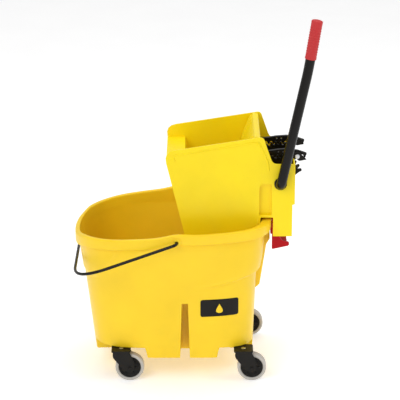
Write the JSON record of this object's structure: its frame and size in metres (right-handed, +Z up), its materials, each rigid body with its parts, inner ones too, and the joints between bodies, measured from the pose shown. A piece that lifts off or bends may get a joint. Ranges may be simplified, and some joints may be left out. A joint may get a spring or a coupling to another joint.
{
  "type": "mop bucket with wringer",
  "caption": "Wheeled yellow mop bucket with a removable side-press wringer, gear-driven press plate, black lever with red grip, bail and swivel casters.",
  "frame": {"origin": "on the floor, under the middle of the assembly's bounding box", "axes": "+Z up, +X to the rear (wringer and lever), -Y towards the lever's side"},
  "size_m": [0.6302, 0.4376, 0.9608],
  "materials": {
    "bucket_plastic": "satin moulded plastic",
    "wringer_plastic": "satin moulded plastic",
    "black_plastic": "matt moulded plastic",
    "gear_plastic": "satin moulded plastic",
    "black_paint": "gloss black paint on steel",
    "grip_red": "soft matt sleeve",
    "latch_red": "satin moulded plastic",
    "bright_steel": "zinc-plated steel",
    "caster_black": "matt moulded plastic",
    "tread_grey": "grey non-marking tread"
  },
  "bodies": {
    "bucket": {"bucket_tub": "bucket_plastic", "bail_bush_left": "black_plastic", "bail_bush_right": "black_plastic", "caster_plate_front_left": "bright_steel", "caster_plate_front_right": "bright_steel", "caster_plate_rear_left": "bright_steel", "caster_plate_rear_right": "bright_steel"},
    "wringer": {"wringer_housing": "wringer_plastic", "strainer_floor": "wringer_plastic", "shaft_bush_left": "black_plastic", "shaft_bush_right": "black_plastic", "guide_bracket_left": "gear_plastic", "guide_bracket_right": "gear_plastic", "guide_bolt_left": "bright_steel", "guide_bolt_right": "bright_steel", "return_spring": "bright_steel", "latch_pin": "bright_steel"},
    "press": {"press_plate": "wringer_plastic", "rack_left": "gear_plastic", "rack_right": "gear_plastic"},
    "handle": {"handle_tube": "black_paint", "handle_grip": "grip_red", "handle_hub": "black_paint", "drive_shaft": "black_paint", "shaft_collar": "black_plastic", "gear_sector_left": "gear_plastic", "gear_sector_right": "gear_plastic"},
    "latch": {"release_latch": "latch_red"},
    "bail": {"bail_wire": "black_paint"},
    "caster_front_left": {"caster_fork_front_left": "caster_black", "caster_stem_front_left": "bright_steel", "wheel_axle_front_left": "bright_steel"},
    "wheel_front_left": {"wheel_hub_front_left": "caster_black", "wheel_tyre_front_left": "tread_grey"},
    "caster_front_right": {"caster_fork_front_right": "caster_black", "caster_stem_front_right": "bright_steel", "wheel_axle_front_right": "bright_steel"},
    "wheel_front_right": {"wheel_hub_front_right": "caster_black", "wheel_tyre_front_right": "tread_grey"},
    "caster_rear_left": {"caster_fork_rear_left": "caster_black", "caster_stem_rear_left": "bright_steel", "wheel_axle_rear_left": "bright_steel"},
    "wheel_rear_left": {"wheel_hub_rear_left": "caster_black", "wheel_tyre_rear_left": "tread_grey"},
    "caster_rear_right": {"caster_fork_rear_right": "caster_black", "caster_stem_rear_right": "bright_steel", "wheel_axle_rear_right": "bright_steel"},
    "wheel_rear_right": {"wheel_hub_rear_right": "caster_black", "wheel_tyre_rear_right": "tread_grey"}
  },
  "joints": [
    {"name": "wringer_lift", "type": "slide", "parent": "bucket", "child": "wringer", "axis": [0, 0, 1], "range_m": [0, 0.25]},
    {"name": "press_handle", "type": "hinge", "parent": "wringer", "child": "handle", "pos_m": [0.216, 0, 0.527], "axis": [0, -1, 0], "range_deg": [0, 65], "stiffness_Nm_per_rad": 4, "springref_deg": -17.19},
    {"name": "press_slide", "type": "slide", "parent": "wringer", "child": "press", "axis": [-1, 0, 0], "range_m": [0, 0.065]},
    {"name": "latch_swing", "type": "hinge", "parent": "wringer", "child": "latch", "pos_m": [0.228, 0, 0.398], "axis": [0, -1, 0], "range_deg": [0, 18], "stiffness_Nm_per_rad": 1, "springref_deg": -11.46},
    {"name": "bail_swing", "type": "hinge", "parent": "bucket", "child": "bail", "pos_m": [-0.048, 0, 0.397], "axis": [0, 1, 0], "range_deg": [0, 100]},
    {"name": "swivel_front_left", "type": "hinge", "parent": "bucket", "child": "caster_front_left", "pos_m": [-0.194, -0.15, 0.08], "axis": [0, 0, 1], "continuous": true},
    {"name": "roll_front_left", "type": "hinge", "parent": "caster_front_left", "child": "wheel_front_left", "pos_m": [-0.172, -0.15, 0.03736], "axis": [0, 1, 0], "continuous": true},
    {"name": "swivel_front_right", "type": "hinge", "parent": "bucket", "child": "caster_front_right", "pos_m": [-0.194, 0.15, 0.08], "axis": [0, 0, 1], "continuous": true},
    {"name": "roll_front_right", "type": "hinge", "parent": "caster_front_right", "child": "wheel_front_right", "pos_m": [-0.172, 0.15, 0.03736], "axis": [0, 1, 0], "continuous": true},
    {"name": "swivel_rear_left", "type": "hinge", "parent": "bucket", "child": "caster_rear_left", "pos_m": [0.124, -0.15, 0.08], "axis": [0, 0, 1], "continuous": true},
    {"name": "roll_rear_left", "type": "hinge", "parent": "caster_rear_left", "child": "wheel_rear_left", "pos_m": [0.146, -0.15, 0.03736], "axis": [0, 1, 0], "continuous": true},
    {"name": "swivel_rear_right", "type": "hinge", "parent": "bucket", "child": "caster_rear_right", "pos_m": [0.124, 0.15, 0.08], "axis": [0, 0, 1], "continuous": true},
    {"name": "roll_rear_right", "type": "hinge", "parent": "caster_rear_right", "child": "wheel_rear_right", "pos_m": [0.146, 0.15, 0.03736], "axis": [0, 1, 0], "continuous": true}
  ],
  "couplings": [
    {"joint": "press_slide", "follows": "press_handle", "m_per_rad": 0.056}
  ]
}
